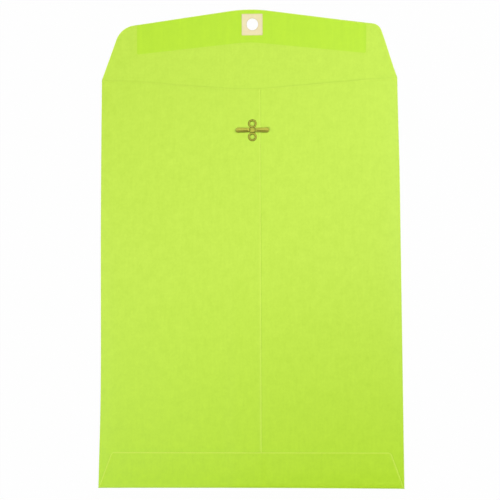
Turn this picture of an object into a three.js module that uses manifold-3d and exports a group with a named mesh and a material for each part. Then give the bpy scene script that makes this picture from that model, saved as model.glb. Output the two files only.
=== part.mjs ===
// Clasp envelope: a 9 by 12 inch open-end envelope of lime paper. It lies on its front panel,
// with its back and its metal clasp facing up and its closure flap open.
// Millimetres. X runs across the width, Y from the bottom fold towards the flap, Z up.
// The origin is the middle of the front panel's outer face.

import * as THREE from 'three';
import { mergeVertices } from 'three/addons/utils/BufferGeometryUtils.js';
import Module from 'manifold-3d';

// paper and films
const SHEET = 0.15;
const GLUE_FILM = 0.05;
const GUM_FILM = 0.05;
const PATCH_THICKNESS = 0.15;
const CREASE_ROUND = 0.1;

// pocket
const WIDTH = 227;
const HEIGHT = 306.4;
const POCKET_GAP = 0.85;

// throat: the back panels' upper edges, level at the sides and falling to a shallow V
const THROAT_LEFT_DROP = 0.9;
const THROAT_LEFT_FLAT = 15.4;
const THROAT_RIGHT_DROP = 1.9;
const THROAT_RIGHT_FLAT = 24;
const THROAT_V_DROP = 8.4;
const THROAT_V_X = -1.5;

// seam up the middle of the back, where the left panel laps over the right one
const SEAM_EDGE = 8.5;
const SEAM_OVERLAP = 19.3;
const SEAM_GLUE_MARGIN = 2.5;
const STEP_RUN = 2;
const STEP_LEAD = 0.5;

// bottom flap, glued up over both back panels
const BOTTOM_FLAP_HEIGHT = 25.7;
const BOTTOM_FLAP_INSET = 9.6;
const BOTTOM_FLAP_RADIUS = 3;
const BOTTOM_GLUE_MARGIN = 3;

// closure flap, measured up from the fold; its peak is rounded off a little below this height
const FLAP_PEAK = 55.2;
const FLAP_PEAK_RADIUS = 110;
const SHOULDER_INSET = 14.8;
const SHOULDER_RISE = 41;
const SHOULDER_RADIUS = 6;
const GUM_LEFT_INSET = 27.4;
const GUM_RIGHT_INSET = 24.4;
const GUM_EDGE_MARGIN = 0.6;
const GUM_MIDDLE_DEPTH = 25.7;
const GUM_END_DEPTH = 22.5;
const GUM_PEAK_RADIUS = 90;
const GUM_CORNER_RADIUS = 1;

// closure: the hole, its patch and the clasp share one line a little right of the middle
const CLOSURE_X = 2.4;
const HOLE_RISE = 42;
const HOLE_DIAMETER = 9.5;
const PATCH_WIDTH = 16;
const PATCH_HEIGHT = 16.8;
const PATCH_RADIUS = 0.6;
const PATCH_CLEARANCE = 0.3;

// clasp plate: two eyelets joined by a strap
const CLASP_DROP = 40.2;
const RING_SPACING = 10.1;
const RING_DIAMETER = 6.7;
const RING_RISE = 0.35;
const BORE_DIAMETER = 3.4;
const BARREL_WALL = 0.3;
const BARREL_CLEARANCE = 0.1;
const CLINCH_DIAMETER = 5.6;
const CLINCH_THICKNESS = 0.2;
const STRAP_WIDTH = 3.7;
const STRAP_THICKNESS = 0.3;
const STRAP_SIDE_CLEARANCE = 0.2;
const STRAP_FOOT_LENGTH = 1.15;

// prong strip, held under the strap
const PRONG_SPAN = 25.4;
const PRONG_THICKNESS = 0.25;
const PRONG_ROOT_WIDTH = 3.1;
const PRONG_TIP_WIDTH = 3.8;
const KNUCKLE_GAP = 0.1;
const FLAP_CLEARANCE = 0.1;
const PRONG_CLEARANCE = 0.05;
const RIB_WIDTH = 1.5;
const RIB_HEIGHT = 0.15;
const RIB_ROOT_GAP = 0.9;
const RIB_TIP_GAP = 1.1;

// finish of the meshes
const ARC_STEPS = 8;
const ROUND_SIDES = 36;

// heights above the surface that the envelope lies on
const PANEL_UNDERSIDE = SHEET + POCKET_GAP;
const PANEL_TOP = PANEL_UNDERSIDE + SHEET;
const LAP_UNDERSIDE = PANEL_TOP + GLUE_FILM;
const LAP_TOP = LAP_UNDERSIDE + SHEET;
const RING_TOP = LAP_TOP + RING_RISE;
const FOLDED_FLAP_TOP = RING_TOP + FLAP_CLEARANCE + PATCH_THICKNESS + SHEET;
const PRONG_UNDERSIDE = FOLDED_FLAP_TOP + PRONG_CLEARANCE;
const PRONG_TOP = PRONG_UNDERSIDE + PRONG_THICKNESS;
const BRIDGE_TOP = LAP_TOP + PRONG_THICKNESS;

// places across and along the envelope
const HALF_WIDTH = WIDTH / 2;
const HALF_HEIGHT = HEIGHT / 2;
const INNER_HALF_WIDTH = HALF_WIDTH - SHEET;
const INNER_BOTTOM = -HALF_HEIGHT + SHEET;
const THROAT_LEFT_Y = HALF_HEIGHT - THROAT_LEFT_DROP;
const THROAT_LEFT_BEND = -HALF_WIDTH + THROAT_LEFT_FLAT;
const THROAT_RIGHT_Y = HALF_HEIGHT - THROAT_RIGHT_DROP;
const THROAT_RIGHT_BEND = HALF_WIDTH - THROAT_RIGHT_FLAT;
const THROAT_V_Y = HALF_HEIGHT - THROAT_V_DROP;
const UNDER_EDGE = SEAM_EDGE - SEAM_OVERLAP;
const CLASP_Y = HALF_HEIGHT - CLASP_DROP;
const KNUCKLE_INNER = STRAP_WIDTH / 2 + KNUCKLE_GAP;
const KNUCKLE_OUTER = KNUCKLE_INNER + PRONG_THICKNESS;
const BEYOND = 2 * HEIGHT;

const wasm = await Module();
wasm.setup();

// A closed geometry as a solid that can be cut and joined.
function toSolid(geometry) {
  const bare = geometry.clone();
  bare.deleteAttribute('normal');
  bare.deleteAttribute('uv');
  const merged = mergeVertices(bare, 1e-5);
  const vertProperties = Float32Array.from(merged.attributes.position.array);
  const triVerts = Uint32Array.from(merged.index.array);
  return new wasm.Manifold(new wasm.Mesh({ numProp: 3, vertProperties, triVerts }));
}

// A cut or joined solid as a geometry again.
function toGeometry(solid) {
  const mesh = solid.getMesh();
  const geometry = new THREE.BufferGeometry();
  geometry.setAttribute('position', new THREE.BufferAttribute(mesh.vertProperties, 3));
  geometry.setIndex(new THREE.BufferAttribute(mesh.triVerts, 1));
  geometry.computeVertexNormals();
  return geometry;
}

// The arc that rounds a corner off, between the edges that come from before and go to after.
function roundedCorner(before, corner, after, radius) {
  const into = corner.clone().sub(before).normalize();
  const out = after.clone().sub(corner).normalize();
  const turn = Math.atan2(into.cross(out), into.dot(out));
  const inward = new THREE.Vector2(-into.y, into.x).multiplyScalar(radius * Math.sign(turn));
  const start = corner.clone().addScaledVector(into, -radius * Math.tan(Math.abs(turn) / 2));
  const centre = start.clone().add(inward);
  const from = Math.atan2(-inward.y, -inward.x);
  return new THREE.EllipseCurve(centre.x, centre.y, radius, radius, from, from + turn, turn < 0)
    .getPoints(ARC_STEPS);
}

// An outline through corners given as [x, y, radius], where a corner without a radius stays sharp.
function roundedShape(corners) {
  const points = corners.map(([x, y]) => new THREE.Vector2(x, y));
  return new THREE.Shape(points.flatMap((corner, i) => {
    const radius = corners[i][2] ?? 0;
    const after = points[(i + 1) % points.length];
    return radius > 0 ? roundedCorner(points.at(i - 1), corner, after, radius) : [corner];
  }));
}

// A flat plate of an outline in X and Y, from one height to another.
function plate(shape, bottom, thickness) {
  const options = { depth: thickness, bevelEnabled: false, curveSegments: ROUND_SIDES / 2 };
  return new THREE.ExtrudeGeometry(shape, options).translate(0, 0, bottom);
}

// A bar along Y, whose section is an outline in X and Z.
function barAlongY(section, start, end) {
  const options = { depth: end - start, bevelEnabled: false };
  return new THREE.ExtrudeGeometry(section, options).rotateX(Math.PI / 2).translate(0, end, 0);
}

// A bar along X, whose section is an outline in Y and Z.
function barAlongX(section, start, end) {
  const options = { depth: end - start, bevelEnabled: false };
  return new THREE.ExtrudeGeometry(section, options)
    .rotateX(Math.PI / 2)
    .rotateZ(Math.PI / 2)
    .translate(start, 0, 0);
}

// A sheet that steps up and down across the width: underside lists [x, z] from left to right.
function steppedSheet(underside, thickness, outline) {
  const upper = underside.map(([x, z]) => [x, z + thickness]).reverse();
  const run = toSolid(barAlongY(roundedShape([...underside, ...upper]), -BEYOND, BEYOND));
  return run.intersect(toSolid(plate(outline, -BEYOND, 2 * BEYOND)));
}

// The way a sheet on the back steps over the lap, at a height above each panel.
function overTheLap(panelHeight, lapHeight) {
  const climb = UNDER_EDGE - STEP_LEAD;
  const descent = SEAM_EDGE + STEP_LEAD;
  return [
    [-BEYOND, panelHeight],
    [climb - STEP_RUN, panelHeight],
    [climb, lapHeight],
    [descent, lapHeight],
    [descent + STEP_RUN, panelHeight],
    [BEYOND, panelHeight],
  ];
}

// Round holes through the back for the two eyelet barrels.
function withBarrelHoles(solid) {
  const radius = BORE_DIAMETER / 2 + BARREL_WALL + BARREL_CLEARANCE;
  return [-1, 1].reduce((cut, side) => {
    const drill = new THREE.CylinderGeometry(radius, radius, BEYOND, ROUND_SIDES)
      .rotateX(Math.PI / 2)
      .translate(CLOSURE_X, CLASP_Y + (side * RING_SPACING) / 2, 0);
    return cut.subtract(toSolid(drill));
  }, solid);
}

// The front panel reaches the fold at full width, past the ends of the side folds.
function frontPanel() {
  return plate(roundedShape([
    [-INNER_HALF_WIDTH, INNER_BOTTOM],
    [INNER_HALF_WIDTH, INNER_BOTTOM],
    [INNER_HALF_WIDTH, THROAT_RIGHT_Y],
    [HALF_WIDTH, THROAT_RIGHT_Y],
    [HALF_WIDTH, HALF_HEIGHT],
    [-HALF_WIDTH, HALF_HEIGHT],
    [-HALF_WIDTH, THROAT_LEFT_Y],
    [-INNER_HALF_WIDTH, THROAT_LEFT_Y],
  ]), 0, SHEET);
}

// The creased sheet that stands between the front and a back panel; side is -1 or 1.
function sideFold(side) {
  const inner = side * INNER_HALF_WIDTH;
  const outer = side * HALF_WIDTH;
  const corners = [
    [inner, 0],
    [outer, 0, CREASE_ROUND],
    [outer, PANEL_TOP, CREASE_ROUND],
    [inner, PANEL_TOP],
  ];
  const section = roundedShape(side > 0 ? corners : corners.reverse());
  return barAlongY(section, INNER_BOTTOM, side > 0 ? THROAT_RIGHT_Y : THROAT_LEFT_Y);
}

// The creased sheet along the bottom, from the front panel up to the bottom flap.
function bottomFold() {
  return barAlongX(roundedShape([
    [-HALF_HEIGHT, 0, CREASE_ROUND],
    [INNER_BOTTOM, 0],
    [INNER_BOTTOM, LAP_TOP],
    [-HALF_HEIGHT, LAP_TOP, CREASE_ROUND],
  ]), -INNER_HALF_WIDTH, INNER_HALF_WIDTH);
}

// Height of the throat's edge at a place between its two bends.
function throatAt(x) {
  const [bend, y] = x < THROAT_V_X
    ? [THROAT_LEFT_BEND, THROAT_LEFT_Y]
    : [THROAT_RIGHT_BEND, THROAT_RIGHT_Y];
  return THREE.MathUtils.mapLinear(x, THROAT_V_X, bend, THROAT_V_Y, y);
}

// The back panel that laps over the seam.
function backPanelLeft() {
  const outline = roundedShape([
    [-INNER_HALF_WIDTH, INNER_BOTTOM],
    [SEAM_EDGE, INNER_BOTTOM],
    [SEAM_EDGE, throatAt(SEAM_EDGE)],
    [THROAT_V_X, THROAT_V_Y],
    [THROAT_LEFT_BEND, THROAT_LEFT_Y],
    [-INNER_HALF_WIDTH, THROAT_LEFT_Y],
  ]);
  const climb = UNDER_EDGE - STEP_LEAD;
  const underside = [
    [-BEYOND, PANEL_UNDERSIDE],
    [climb - STEP_RUN, PANEL_UNDERSIDE],
    [climb, LAP_UNDERSIDE],
    [BEYOND, LAP_UNDERSIDE],
  ];
  return toGeometry(withBarrelHoles(steppedSheet(underside, SHEET, outline)));
}

// The back panel under the seam.
function backPanelRight() {
  const outline = roundedShape([
    [UNDER_EDGE, INNER_BOTTOM],
    [INNER_HALF_WIDTH, INNER_BOTTOM],
    [INNER_HALF_WIDTH, THROAT_RIGHT_Y],
    [THROAT_RIGHT_BEND, THROAT_RIGHT_Y],
    [THROAT_V_X, THROAT_V_Y],
    [UNDER_EDGE, throatAt(UNDER_EDGE)],
  ]);
  return toGeometry(withBarrelHoles(toSolid(plate(outline, PANEL_UNDERSIDE, SHEET))));
}

// Glue between the two back panels.
function seamGlue() {
  const top = THROAT_V_Y - SEAM_GLUE_MARGIN;
  const outline = roundedShape([
    [UNDER_EDGE + SEAM_GLUE_MARGIN, INNER_BOTTOM + SEAM_GLUE_MARGIN],
    [SEAM_EDGE - SEAM_GLUE_MARGIN, INNER_BOTTOM + SEAM_GLUE_MARGIN],
    [SEAM_EDGE - SEAM_GLUE_MARGIN, top],
    [UNDER_EDGE + SEAM_GLUE_MARGIN, top],
  ]);
  return toGeometry(withBarrelHoles(toSolid(plate(outline, PANEL_TOP, GLUE_FILM))));
}

// Outline of the bottom flap, drawn in by a margin on every side.
function bottomFlapOutline(margin) {
  const top = -HALF_HEIGHT + BOTTOM_FLAP_HEIGHT;
  const slant = Math.atan2(BOTTOM_FLAP_INSET, BOTTOM_FLAP_HEIGHT);
  const draw = margin / Math.cos(slant);
  const sideAt = (y) => INNER_HALF_WIDTH - draw - (y - INNER_BOTTOM) * Math.tan(slant);
  const low = INNER_BOTTOM + margin;
  const high = top - margin;
  return roundedShape([
    [-sideAt(low), low],
    [sideAt(low), low],
    [sideAt(high), high, BOTTOM_FLAP_RADIUS],
    [-sideAt(high), high, BOTTOM_FLAP_RADIUS],
  ]);
}

// The bottom flap lies over both back panels and steps over their lap.
function bottomFlap() {
  const underside = overTheLap(LAP_UNDERSIDE, LAP_TOP + GLUE_FILM);
  return toGeometry(steppedSheet(underside, SHEET, bottomFlapOutline(0)));
}

// Glue under the bottom flap.
function bottomGlue() {
  const underside = overTheLap(PANEL_TOP, LAP_TOP);
  return toGeometry(steppedSheet(underside, GLUE_FILM, bottomFlapOutline(BOTTOM_GLUE_MARGIN)));
}

// Height of the closure flap's upper edge, before rounding, at a distance from the middle.
function flapEdgeAt(distance) {
  return THREE.MathUtils.lerp(FLAP_PEAK, SHOULDER_RISE, distance / (HALF_WIDTH - SHOULDER_INSET));
}

// The closure flap, with the hole that goes over the prongs.
function closureFlap() {
  const shoulder = HALF_WIDTH - SHOULDER_INSET;
  const shape = roundedShape([
    [-HALF_WIDTH, 0],
    [HALF_WIDTH, 0],
    [shoulder, SHOULDER_RISE, SHOULDER_RADIUS],
    [0, FLAP_PEAK, FLAP_PEAK_RADIUS],
    [-shoulder, SHOULDER_RISE, SHOULDER_RADIUS],
  ]);
  const hole = new THREE.Path();
  hole.absarc(CLOSURE_X, HOLE_RISE, HOLE_DIAMETER / 2, 0, 2 * Math.PI, true);
  shape.holes.push(hole);
  return plate(shape, 0, SHEET);
}

// Corners of a rectangle around the hole, counter-clockwise.
function aroundHole(width, height, radius) {
  return [[-1, -1], [1, -1], [1, 1], [-1, 1]].map(([across, up]) => [
    CLOSURE_X + (across * width) / 2,
    HOLE_RISE + (up * height) / 2,
    radius,
  ]);
}

// The gum band follows the flap's upper edge and stays clear of the patch.
function flapGum() {
  const top = (x) => flapEdgeAt(Math.abs(x)) - GUM_EDGE_MARGIN;
  const left = -HALF_WIDTH + GUM_LEFT_INSET;
  const right = HALF_WIDTH - GUM_RIGHT_INSET;
  const shape = roundedShape([
    [left, top(left) - GUM_END_DEPTH, GUM_CORNER_RADIUS],
    [0, top(0) - GUM_MIDDLE_DEPTH, GUM_PEAK_RADIUS],
    [right, top(right) - GUM_END_DEPTH, GUM_CORNER_RADIUS],
    [right, top(right), GUM_CORNER_RADIUS],
    [0, top(0), FLAP_PEAK_RADIUS],
    [left, top(left), GUM_CORNER_RADIUS],
  ]);
  const window = aroundHole(PATCH_WIDTH + 2 * PATCH_CLEARANCE, PATCH_HEIGHT + 2 * PATCH_CLEARANCE, 0);
  shape.holes.push(roundedShape(window.reverse()));
  return plate(shape, SHEET, GUM_FILM);
}

// The stiff patch that keeps the prongs from tearing the hole.
function holePatch() {
  const shape = roundedShape(aroundHole(PATCH_WIDTH, PATCH_HEIGHT, PATCH_RADIUS));
  const hole = new THREE.Path();
  hole.absarc(CLOSURE_X, HOLE_RISE, HOLE_DIAMETER / 2, 0, 2 * Math.PI, true);
  shape.holes.push(hole);
  return plate(shape, SHEET, PATCH_THICKNESS);
}

// One eyelet: a rolled rim on the back, a barrel through both panels and a clinched foot inside.
function eyelet(side) {
  const bore = BORE_DIAMETER / 2;
  const barrel = bore + BARREL_WALL;
  const rim = RING_DIAMETER / 2;
  const foot = CLINCH_DIAMETER / 2;
  const footBottom = PANEL_UNDERSIDE - CLINCH_THICKNESS;
  const crown = (rim + bore) / 2;
  const halfRim = (rim - bore) / 2;
  const profile = [
    [bore, footBottom],
    [foot, footBottom],
    [foot, PANEL_UNDERSIDE],
    [barrel, PANEL_UNDERSIDE],
    [barrel, LAP_TOP],
    [rim, LAP_TOP],
  ];
  for (let i = 1; i <= ARC_STEPS; i += 1) {
    const angle = (Math.PI * i) / ARC_STEPS;
    profile.push([crown + halfRim * Math.cos(angle), LAP_TOP + RING_RISE * Math.sin(angle)]);
  }
  profile.push(profile[0]);
  const points = profile.map(([r, z]) => new THREE.Vector2(r, z));
  return new THREE.LatheGeometry(points, ROUND_SIDES)
    .rotateX(Math.PI / 2)
    .translate(0, (side * RING_SPACING) / 2, 0);
}

// The strap arches over the prong strip and runs out into both rims.
function strap() {
  const inner = PRONG_ROOT_WIDTH / 2 + STRAP_SIDE_CLEARANCE;
  const outer = inner + STRAP_FOOT_LENGTH;
  const top = BRIDGE_TOP + STRAP_THICKNESS;
  const low = LAP_TOP + STRAP_THICKNESS;
  const section = roundedShape([
    [-outer, LAP_TOP],
    [-inner, LAP_TOP],
    [-inner, BRIDGE_TOP],
    [inner, BRIDGE_TOP],
    [inner, LAP_TOP],
    [outer, LAP_TOP],
    [outer, low],
    [inner + STRAP_THICKNESS, low, STRAP_THICKNESS / 2],
    [inner, top, STRAP_THICKNESS / 2],
    [-inner, top, STRAP_THICKNESS / 2],
    [-inner - STRAP_THICKNESS, low, STRAP_THICKNESS / 2],
    [-outer, low],
  ]);
  return barAlongX(section, -STRAP_WIDTH / 2, STRAP_WIDTH / 2);
}

// The clasp plate is one stamping: eyelet, strap, eyelet.
function claspPlate() {
  return toGeometry(toSolid(eyelet(-1)).add(toSolid(strap())).add(toSolid(eyelet(1))));
}

// The middle of the prong strip: flat under the strap, with a knuckle up to each prong.
function prongBridge() {
  return barAlongY(roundedShape([
    [-KNUCKLE_OUTER, LAP_TOP],
    [KNUCKLE_OUTER, LAP_TOP],
    [KNUCKLE_OUTER, PRONG_TOP],
    [KNUCKLE_INNER, PRONG_TOP],
    [KNUCKLE_INNER, BRIDGE_TOP],
    [-KNUCKLE_INNER, BRIDGE_TOP],
    [-KNUCKLE_INNER, PRONG_TOP],
    [-KNUCKLE_OUTER, PRONG_TOP],
  ]), -PRONG_ROOT_WIDTH / 2, PRONG_ROOT_WIDTH / 2);
}

// One prong: a leaf that widens to a round tip, stiffened by a raised rib; side is -1 or 1.
function prong(side) {
  const tip = PRONG_SPAN / 2;
  const tipRadius = PRONG_TIP_WIDTH / 2;
  const leafShape = new THREE.Shape();
  leafShape.moveTo(KNUCKLE_OUTER, -PRONG_ROOT_WIDTH / 2);
  leafShape.lineTo(tip - tipRadius, -tipRadius);
  leafShape.absarc(tip - tipRadius, 0, tipRadius, -Math.PI / 2, Math.PI / 2, false);
  leafShape.lineTo(KNUCKLE_OUTER, PRONG_ROOT_WIDTH / 2);
  leafShape.closePath();
  const leaf = toSolid(plate(leafShape, PRONG_UNDERSIDE, PRONG_THICKNESS));

  const ribRadius = RIB_WIDTH / 2;
  const ribStart = KNUCKLE_OUTER + RIB_ROOT_GAP + ribRadius;
  const ribEnd = tip - RIB_TIP_GAP - ribRadius;
  const rib = new THREE.CapsuleGeometry(ribRadius, ribEnd - ribStart, ARC_STEPS / 2, 2 * ARC_STEPS)
    .rotateZ(Math.PI / 2)
    .scale(1, 1, RIB_HEIGHT / ribRadius)
    .translate((ribStart + ribEnd) / 2, 0, PRONG_TOP);
  const joined = leaf.add(toSolid(rib));
  const geometry = toGeometry(joined);
  return side > 0 ? geometry : geometry.rotateZ(Math.PI);
}

// Materials, one for each piece.
function paper(color) {
  return new THREE.MeshStandardMaterial({ color, roughness: 0.85, metalness: 0 });
}

function brass(color) {
  return new THREE.MeshStandardMaterial({ color, roughness: 0.35, metalness: 1 });
}

function film(color) {
  return new THREE.MeshStandardMaterial({ color, roughness: 0.45, metalness: 0 });
}

function piece(name, geometry, material) {
  const mesh = new THREE.Mesh(geometry, material);
  mesh.name = name;
  return mesh;
}

const flap = new THREE.Group();
flap.position.set(0, HALF_HEIGHT, 0);
flap.add(
  piece('closure_flap', closureFlap(), paper('#caed53')),
  piece('flap_gum', flapGum(), film('#c2ed46')),
  piece('hole_patch', holePatch(), paper('#f0e4b4')),
);

const clasp = new THREE.Group();
clasp.position.set(CLOSURE_X, CLASP_Y, 0);
clasp.add(
  piece('clasp_plate', claspPlate(), brass('#b4a65c')),
  piece('prong_bridge', prongBridge(), brass('#a9a04e')),
  piece('prong_left', prong(-1), brass('#b1b54a')),
  piece('prong_right', prong(1), brass('#b1b54a')),
);

const envelope = new THREE.Group();
envelope.add(
  piece('front_panel', frontPanel(), paper('#c9ee56')),
  piece('left_side_fold', sideFold(-1), paper('#d1f16a')),
  piece('right_side_fold', sideFold(1), paper('#d1f16a')),
  piece('back_panel_left', backPanelLeft(), paper('#c9ed55')),
  piece('back_panel_right', backPanelRight(), paper('#ccef5b')),
  piece('center_seam_glue', seamGlue(), film('#e8e6c8')),
  piece('bottom_fold', bottomFold(), paper('#b0d23c')),
  piece('bottom_flap', bottomFlap(), paper('#b9e03d')),
  piece('bottom_flap_glue', bottomGlue(), film('#e8e6c8')),
  flap,
  clasp,
);

export default envelope;
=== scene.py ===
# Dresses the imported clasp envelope: lime paper, a gum band, a tan patch and a stamped brass clasp.
# Lengths in this file are millimetres until a mesh, a lamp or the camera is made.
import math

import bpy
import numpy as np
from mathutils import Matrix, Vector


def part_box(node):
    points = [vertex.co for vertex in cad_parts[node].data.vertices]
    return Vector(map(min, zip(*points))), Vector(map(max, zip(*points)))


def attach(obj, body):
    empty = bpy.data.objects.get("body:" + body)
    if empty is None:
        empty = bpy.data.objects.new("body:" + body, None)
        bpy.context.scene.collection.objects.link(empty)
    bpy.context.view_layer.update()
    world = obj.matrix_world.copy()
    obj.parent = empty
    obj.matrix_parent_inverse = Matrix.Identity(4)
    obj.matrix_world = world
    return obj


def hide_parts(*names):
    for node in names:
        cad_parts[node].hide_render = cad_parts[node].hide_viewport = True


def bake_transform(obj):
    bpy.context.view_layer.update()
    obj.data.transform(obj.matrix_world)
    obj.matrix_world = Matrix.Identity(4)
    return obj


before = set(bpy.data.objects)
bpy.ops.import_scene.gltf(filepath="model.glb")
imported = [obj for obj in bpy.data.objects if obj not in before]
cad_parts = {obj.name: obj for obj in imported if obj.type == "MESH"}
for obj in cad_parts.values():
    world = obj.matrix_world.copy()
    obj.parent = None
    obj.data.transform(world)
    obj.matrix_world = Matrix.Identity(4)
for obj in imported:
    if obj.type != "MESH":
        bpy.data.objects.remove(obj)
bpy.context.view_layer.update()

MM = 0.001


def corners(node):
    """Lowest and highest corner of a CAD node, in millimetres."""
    low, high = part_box(node)
    return np.array(low) / MM, np.array(high) / MM


# places that the CAD gives
FRONT_HIGH = corners("front_panel")[1]
LEFT_HIGH = corners("back_panel_left")[1]
RIGHT_LOW, RIGHT_HIGH = corners("back_panel_right")
PATCH_LOW, PATCH_HIGH = corners("hole_patch")
GUM_LOW, GUM_HIGH = corners("flap_gum")
PLATE_LOW, PLATE_HIGH = corners("clasp_plate")
PRONG_LOW, PRONG_HIGH = corners("prong_right")
HALF_WIDTH = FRONT_HIGH[0]
FOLD_Y = FRONT_HIGH[1]
SHEET = FRONT_HIGH[2]
BOTTOM_Y = corners("bottom_fold")[0][1]
PANEL_TOP = RIGHT_HIGH[2]
LAP_TOP = LEFT_HIGH[2]
LAP_RISE = LAP_TOP - PANEL_TOP
SEAM_X = LEFT_HIGH[0]
UNDER_X = RIGHT_LOW[0]
LOWER_TOP = corners("bottom_flap")[1][1]
HOLE = (PATCH_LOW[:2] + PATCH_HIGH[:2]) / 2
CLASP = (PLATE_LOW[:2] + PLATE_HIGH[:2]) / 2

# A pair with GROWS in its name is where a ramp is 0 and where it is 1.

# how far the sides stand inside the CAD's, and how far the bottom bows down
LEFT_DRAW = 0.65
LEFT_BELL = 1.3
LEFT_BELL_Y = -82
LEFT_BELL_WIDTHS = (95, 60)
RIGHT_DRAW = 0.23
RIGHT_DRAW_MORE = 0.72
RIGHT_DRAW_GROWS = (70, 153)
FLAP_DRAWS = (0.3, -0.75)
DRAW_START = 60
BOW = 0.45
BOW_AT_CORNERS = 0.3
BOW_REACH = 25

# folds of the sheet, and how the back is pressed down beside them
FOLD_REACH = 0.8
BOTTOM_FOLD_REACH = 0.7
FOLD_READ = 0.3
CREASE_HALF = 0.9
PRESSED = 0.45
SIDE_PRESS_REACH = 9
BOTTOM_PRESSED = 0.15
BOTTOM_PRESS_REACH = 11
PANEL_HALF = HALF_WIDTH - FOLD_REACH
PANEL_LOW = BOTTOM_Y + BOTTOM_FOLD_REACH
PANEL_HIGH = FOLD_Y - CREASE_HALF
BACK_OVERLAP = 0.1

# quarter of an ellipse that rounds the bottom off: less deep at the sides and shorter at the left
ROLL = 1.4
ROLL_SIDE_SHARE = 0.45
ROLL_REACH = 2.8
ROLL_LEFT_SHARE = 0.3
ROLL_REACH_GROWS = (-45, 5)

# puff of the pocket, and gape and sink of the throat
PUFF = 0.35
PUFF_GROWS = (-125, -35)
PUFF_GROWS_DOWN = (102, 32)
GAPE = 0.28
GAPE_GROWS = (124, 150)
SINK = 0.4
SINK_GROWS_LEFT = (35, -5)
SINK_GROWS_FROM_SIDE = (4, 20)
V_SINK = 0.4
V_SINK_WIDTH = 26
LIP = 0.06
LIP_WIDTH = 0.8

# waves of the paper: each is a direction in X and Y, a length and a phase
COCKLE = 0.07
WAVES = ((0.95, 0.3, 83, 0.4), (0.2, 0.98, 61, 2.1), (-0.6, 0.8, 47, 4.0), (0.75, -0.66, 39, 1.3),
         (0.99, 0.1, 29, 5.2))
CLASP_CALM = 18

# raised front under the clasp's feet
FRONT_DENT = 0.63
FRONT_DENT_HALVES = (9, 12)

# throat: places along the back panels' upper edges, their drop from the fold there, and the V's tip
V_X = -1.5
THROAT_X = (-HALF_WIDTH, 15.4 - HALF_WIDTH, V_X, HALF_WIDTH - 24, HALF_WIDTH)
THROAT_DROPS = (0.9, 0.9, 9.4, 1.9, 0.9)
V_ROUND = 0.9
V_ROUND_WIDTH = 12

# step over the seam's lap, its curled edge, the bottom flap's cut corners and ridge, and the glue
STEP_RUN = 8
STEP_LEAD = 0.5
STEP_DOWN_RUN = 3
SEAM_CURL = 0.24
SEAM_CURL_WIDTH = 1.2
LOWER_INSET = 9.6
LOWER_RADIUS = 3
RIDGE = 0.26
RIDGE_WIDTH = 1.0
GLUE_GAP = 0.05
GLUE_FILM = 0.04
GLUE_CLEARANCE = 0.005
GLUE_MARGIN = 3

# closure flap, its gum and its patch
FLAP_START = FOLD_Y + CREASE_HALF
FLAP_PEAK = 54.85
FLAP_PEAK_RADIUS = 110
SHOULDER_INSET = 14.8
SHOULDER_X = HALF_WIDTH - SHOULDER_INSET
SHOULDER_RISE = 40.65
SHOULDER_LEFT_RADIUS = 17
SHOULDER_RIGHT_RADIUS = 8
SHOULDER_RIGHT_LIFT = 0.5
CURL = 0.35
CURL_GROWS_OUT = (62, 102)
CURL_GROWS_UP = (14, 44)
FLAP_LEVEL_RUN = 12
FLAP_WAVE_SHARE = 0.5
FLAP_WAVE_SHIFT = 40
SPRING = 0.22
SPRING_GROWS_LEFT = (-5, -65)
HOLE_CALM = 16
GUM_MARGIN = 0.6
GUM_MIDDLE_DEPTH = 25.7
GUM_END_DEPTH = 22.5
GUM_PEAK_RADIUS = 90
GUM_CORNER = 1
GUM_FILM = 0.05
HOLE_HALVES = (4.4, 4.7)
HOLE_SHIFT = np.array([0.2, 0.2])
PATCH_CORNER = 0.6
PATCH_CROWN = 0.03
PATCH_CROWN_WIDTH = 1.2
PATCH_CLEARANCE = 0.3
WINDOW_CORNER = 0.1

# eyelets of the clasp
RING_SPACING = 10.1
RIM_RADIUS = 3.4
RIM_RISE = 0.35
RIM_POWER = 0.8
BORE_RADIUS = 1.85
BARREL_RADIUS = 2.05
PAPER_HOLE = 2.1
FOOT_RADIUS = 2.8
FOOT_TOP = 0.98
FOOT_BOTTOM = 0.8
FOOT_BEVEL = 0.05
FOOT_EDGE = 0.06

# strap of the clasp
STRAP_HALF_LENGTH = 2.9
STRAP_HALF_WIDTH = 1.85
STRAP_SHEET = 0.3
STRAP_TOP = PLATE_HIGH[2]
STRAP_LEVEL = 1.45
STRAP_RAMP = 0.85
STRAP_DROP = 0.22
STRAP_CROWN = 0.02
WAIST_DEPTH = 0.22
WAIST_PLACE = 2.1
WAIST_WIDTH = 0.5

# prong strip: the bridge, the knuckles and the ribbed prongs
STRIP_SHEET = 0.23
STRIP_GAP = 0.01
STRIP_HALF_ROOT = 1.53
STRIP_HALF_TIP = 1.88
BAR_POWER = 4
KNUCKLE_X = 2.075
KNUCKLE_RADIUS = 0.125
PRONG_TIP = PRONG_HIGH[0] - CLASP[0]
PRONG_MIDDLE = PRONG_LOW[2] + 0.125
PRONG_CROWN = 0.03
RIB_HALF = 0.7
RIB_RISE = 0.19
RIB_ROOT = 3.1
RIB_TIP_GAP = 1.1
RIB_FADE = 0.7

# marks along cut edges and creases: width and strength. On the lime they are pale, and along its cut edges
# partly painted highlight; round the patch the mark is darker, partly painted shade.
THROAT_MARK = (0.4, 0.4)
SEAM_MARK = (0.7, 0.9)
CREASE_MARK = (0.5, 1)
LOWER_TOP_MARK = (0.7, 0.9)
LOWER_SIDE_MARK = (0.6, 1)
FLAP_MARK = (0.5, 1)
FLAP_MARK_START = 1
HOLE_MARK = (0.4, 1)
GUM_MARK = (0.8, 1)
PATCH_MARK = (0.45, 1)

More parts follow.
